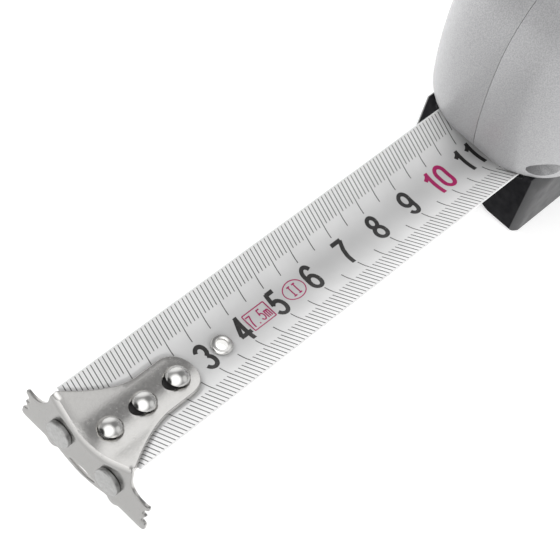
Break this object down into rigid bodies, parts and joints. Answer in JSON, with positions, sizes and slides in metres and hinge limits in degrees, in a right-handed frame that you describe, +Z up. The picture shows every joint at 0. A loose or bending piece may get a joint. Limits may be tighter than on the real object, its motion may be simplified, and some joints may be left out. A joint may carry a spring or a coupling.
{
  "type": "tape measure",
  "caption": "Pocket tape measure with a rounded case, thumb lock, belt clip and a printed steel blade pulled part way out, ending in a riveted magnetic hook.",
  "frame": {"origin": "middle of the underside of the base, below the case", "axes": "+Z up through the case, the blade pulls out along -X, +Y towards the belt clip"},
  "size_m": [0.1866, 0.0455, 0.0749],
  "materials": {
    "shell": "satin metallic silver paint with a fine grain",
    "bumper": "moulded black plastic",
    "nylon": "natural nylon",
    "screws": "zinc plated",
    "inlay": "plain moulded grip disc",
    "clip": "nickel plated spring steel",
    "axle": "turned",
    "spring_steel": "blued spring steel",
    "blade": "satin off-white lacquer with a printed millimetre scale",
    "nickel": "nickel plated steel, softly mottled",
    "magnet": "nickel plated magnet face",
    "button": "ribbed black rubber over plastic",
    "pad": "plain rubber"
  },
  "bodies": {
    "case": {"case_left": "shell", "case_right": "shell", "base_bumper": "bumper", "blade_guide": "nylon", "case_screw_1": "screws", "case_screw_2": "screws", "case_screw_3": "screws", "case_screw_4": "screws", "side_inlay": "inlay", "belt_clip": "clip", "clip_screw": "screws", "axle_post": "axle", "lock_spring": "spring_steel", "blade_throat": "blade"},
    "spool": {"drum": "nylon", "spring_cover": "nylon", "blade_coil": "blade", "power_spring": "spring_steel"},
    "tape": {"blade": "blade", "eyelet": "nickel", "hook_rivet_1": "nickel", "hook_rivet_2": "nickel", "hook_rivet_3": "nickel"},
    "end_hook": {"hook": "nickel", "magnet_left": "magnet", "magnet_right": "magnet"},
    "lock": {"lock_button": "button"},
    "brake": {"brake_arm": "bumper", "brake_pad_left": "pad", "brake_pad_right": "pad"}
  },
  "joints": [
    {"name": "blade_slide", "type": "slide", "parent": "case", "child": "tape", "axis": [1, 0, 0], "range_m": [0, 0.1065], "deforming": ["blade", "eyelet", "blade_throat"]},
    {"name": "spool_turn", "type": "hinge", "parent": "case", "child": "spool", "pos_m": [0.004, 0, 0.0387], "axis": [0, -1, 0], "range_deg": [0, 231]},
    {"name": "hook_play", "type": "slide", "parent": "tape", "child": "end_hook", "axis": [1, 0, 0], "range_m": [0, 0.001]},
    {"name": "lock_push", "type": "hinge", "parent": "case", "child": "lock", "pos_m": [-0.012, 0, 0.046], "axis": [0, -1, 0], "range_deg": [0, 10]},
    {"name": "brake_press", "type": "slide", "parent": "case", "child": "brake", "axis": [0, 0, -1], "range_m": [0, 0.00305]}
  ],
  "couplings": [
    {"joint": "spool_turn", "follows": "blade_slide", "rad_per_m": 37.7},
    {"joint": "brake_press", "follows": "lock_push", "m_per_rad": 0.01718}
  ]
}
